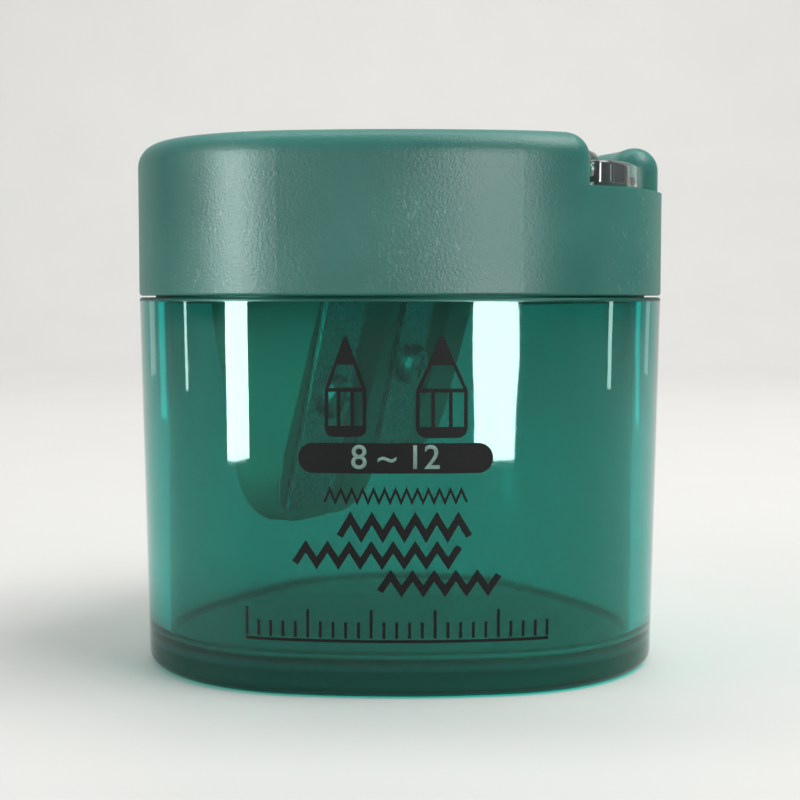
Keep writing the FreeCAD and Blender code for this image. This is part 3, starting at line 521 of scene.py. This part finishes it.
# A row of upright ticks on a rail, every few of them longer, as on a ruler; flat, in millimetres
def tickRow(sizes):
    tree = bpy.data.node_groups.new("tickRow", "GeometryNodeTree")
    names = groupInputs(tree, sizes)
    tree.interface.new_socket("Geometry", in_out="OUTPUT", socket_type="NodeSocketGeometry")
    given = addNode(tree, "NodeGroupInput").outputs
    index = addNode(tree, "GeometryNodeInputIndex").outputs[0]
    position = mathNode(tree, "MULTIPLY_ADD", index, given["Gap"])
    tree.links.new(given["Left"], position.node.inputs[2])
    onLong = mathNode(tree, "LESS_THAN", mathNode(tree, "MODULO", index, given["Every"]), 0.5)
    tall = addNode(tree, "ShaderNodeMapRange", {"Value": onLong, "To Min": given["Short"],
                                                "To Max": given["Long"]}).outputs[0]
    middle = mathNode(tree, "MULTIPLY_ADD", tall, 0.5)
    tree.links.new(given["Foot"], middle.node.inputs[2])
    places = addNode(tree, "ShaderNodeCombineXYZ", {"X": position, "Y": middle})
    row = addNode(tree, "GeometryNodePoints", {"Count": given["Count"], "Position": places.outputs[0]})
    tick = addNode(tree, "GeometryNodeMeshGrid", {"Size X": given["Width"], "Size Y": 1.0,
                                                  "Vertices X": 2, "Vertices Y": 2})
    stretch = addNode(tree, "ShaderNodeCombineXYZ", {"X": 1.0, "Y": tall, "Z": 1.0})
    ticks = addNode(tree, "GeometryNodeInstanceOnPoints", {
        "Points": row.outputs[0], "Instance": tick.outputs[0], "Scale": stretch.outputs[0]})
    span = mathNode(tree, "MULTIPLY", given["Gap"], mathNode(tree, "SUBTRACT", given["Count"], 1.0))
    railLength = mathNode(tree, "ADD", span, given["Width"])
    railMiddle = mathNode(tree, "MULTIPLY_ADD", span, 0.5)
    tree.links.new(given["Left"], railMiddle.node.inputs[2])
    rail = addNode(tree, "GeometryNodeMeshGrid", {"Size X": railLength, "Size Y": given["Rail"],
                                                  "Vertices X": 2, "Vertices Y": 2})
    railLow = mathNode(tree, "SUBTRACT", given["Foot"], given["Rail"])
    railPlace = addNode(tree, "ShaderNodeCombineXYZ", {"X": railMiddle, "Y": railLow})
    moved = addNode(tree, "GeometryNodeTransform", {"Geometry": rail.outputs[0],
                                                    "Translation": railPlace.outputs[0]})
    joined = addNode(tree, "GeometryNodeJoinGeometry")
    for part in (moved, ticks):
        tree.links.new(part.outputs[0], joined.inputs[0])
    solid = addNode(tree, "GeometryNodeRealizeInstances", {"Geometry": joined.outputs[0]})
    inked = addNode(tree, "GeometryNodeSetMaterial", {"Geometry": solid.outputs[0], "Material": ink})
    addNode(tree, "NodeGroupOutput", {"Geometry": inked.outputs[0]})
    holder = bpy.data.objects.new("ticks", bpy.data.meshes.new("ticks"))
    bpy.context.scene.collection.objects.link(holder)
    modifier = holder.modifiers.new("tickRow", "NODES")
    modifier.node_group = tree
    for name, number in sizes.items():
        modifier[names[name]] = number
    mesh = evaluated(holder)
    bpy.data.objects.remove(holder)
    return mesh


def makePrint():
    art = printArt
    meshes = [flatMesh(pencilLoops(*place)) for place in art["pencils"]]
    left, right, low, high = art["pill"]
    figures = figureMesh(art["figures"], art["figureSize"], art["figureBold"],
                         (left + right) / 2, (low + high) / 2)
    radius = (high - low) / 2 - art["pillFlat"]
    meshes.append(flatMesh([roundedBar(left, right, low, high, radius)]))
    printPiece("print_pencils", meshes, ink)
    printPiece("print_figures", [figures], paleInk, film["overLift"])
    rows = [flatMesh([scribble(*art["fineRow"], art["fineWidth"])])]
    rows += [flatMesh([scribble(*row, art["boldWidth"])]) for row in art["boldRows"]]
    printPiece("print_scribble", rows, ink)
    printPiece("print_ruler", [tickRow(art["ruler"])], ink)


makePrint()
print("print laid on the front")


# stage, camera and light

stage = {
    "floorHalf": 1.2, "backdrop": 0.75, "bend": 0.3, "bendSteps": 12,
    "roomColour": "#dfe3e6", "roomStrength": 0.27,
    "eye": (0.0, -139.0 * mm, 32.2 * mm), "aim": (0.0, 0.0, 22.6 * mm), "lens": 68.0, "nearest": 0.01,
}

# place, target, size and power of each lamp, and the rays that see it
lamps = {
    "keySoftbox": ((0.32, -0.12, 0.62), (0, 0, 0.02), (0.4, 0.4), 4.6, "all"),
    "backdropWash": ((0.0, 0.25, 0.9), (0, 0.75, 0.15), (1.2, 0.3), 7.0, "all"),
    "leftFill": ((-0.6, -0.25, 0.35), (0, 0, 0.02), (0.4, 0.4), 1.8, "all"),
    "rightStrip": ((0.047, -0.133, 0.045), (0.007, -0.02, 0.022), (0.02, 0.09), 0.17, "gloss"),
    "leftStrip": ((-0.107, -0.093, 0.045), (-0.013, -0.018, 0.022), (0.035, 0.09), 0.3, "gloss"),
    "leftEdgeStrip": ((-0.30, -0.012, 0.03), (-0.018, -0.01, 0.022), (0.012, 0.09), 0.035, "gloss"),
    "rightEdgeStrip": ((0.30, -0.030, 0.03), (0.018, -0.01, 0.022), (0.016, 0.09), 0.035, "gloss"),
    "leftRim": ((-0.30, 0.22, 0.12), (-0.02, 0, 0.02), (0.06, 0.35), 0.05, "rim"),
    "rightRim": ((0.30, 0.22, 0.12), (0.02, 0, 0.02), (0.04, 0.35), 0.035, "rim"),
}


# A desk that curves up into a pale backdrop well behind the object
def makeSweep():
    half, back, bend = stage["floorHalf"], stage["backdrop"], stage["bend"]
    rows = [(-half, 0.0), (0.0, 0.0)]
    steps = stage["bendSteps"]
    for step in range(steps + 1):
        angle = math.radians(90 * step / steps)
        rows.append((back - bend + bend * math.sin(angle), bend - bend * math.cos(angle)))
    rows.append((back, half))
    vertices = [Vector((side * half, y, z)) for y, z in rows for side in (-1, 1)]
    faces = [(2 * i, 2 * i + 1, 2 * i + 3, 2 * i + 2) for i in range(len(rows) - 1)]
    mesh = bpy.data.meshes.new("deskSweep")
    mesh.from_pydata(vertices, [], faces)
    mesh.polygons.foreach_set("use_smooth", [True] * len(faces))
    sweep = bpy.data.objects.new("deskSweep", mesh)
    bpy.context.scene.collection.objects.link(sweep)
    mesh.materials.append(makeDesk())
    return sweep


# seenBy: all, gloss (reflections only) or rim (reflections and refractions, for the clear edges)
def addLamp(name, spared):
    place, target, size, power, seenBy = lamps[name]
    data = bpy.data.lights.new(name, "AREA")
    data.shape = "RECTANGLE"
    data.size, data.size_y = size
    data.energy = power
    lamp = bpy.data.objects.new(name, data)
    lamp.location = place
    lamp.rotation_euler = (Vector(target) - Vector(place)).to_track_quat("-Z", "Y").to_euler()
    lamp.visible_camera = False
    lamp.visible_diffuse = seenBy == "all"
    lamp.visible_transmission = seenBy != "gloss"
    if seenBy != "all":
        lamp.light_linking.receiver_collection = spared
    bpy.context.scene.collection.objects.link(lamp)


def makeCamera():
    camera = bpy.data.objects.new("camera", bpy.data.cameras.new("camera"))
    camera.data.lens = stage["lens"]
    camera.data.clip_start = stage["nearest"]
    camera.location = stage["eye"]
    camera.rotation_euler = (Vector(stage["aim"]) - camera.location).to_track_quat("-Z", "Y").to_euler()
    bpy.context.scene.collection.objects.link(camera)
    bpy.context.scene.camera = camera
    bpy.context.scene.view_settings.view_transform = "Standard"  # keeps the teal as saturated as it is


def makeStage():
    sweep = makeSweep()
    spared = bpy.data.collections.new("sparedByStrips")  # the strips stand close and would burn the desk
    spared.objects.link(sweep)
    spared.collection_objects[0].light_linking.link_state = "EXCLUDE"
    makeCamera()
    world = bpy.data.worlds.new("softRoom")
    world.use_nodes = True
    background = world.node_tree.nodes["Background"]
    background.inputs["Color"].default_value = linear(stage["roomColour"])
    background.inputs["Strength"].default_value = stage["roomStrength"]
    bpy.context.scene.world = world
    for name in lamps:
        addLamp(name, spared)


makeStage()
print("stage, camera and light set")
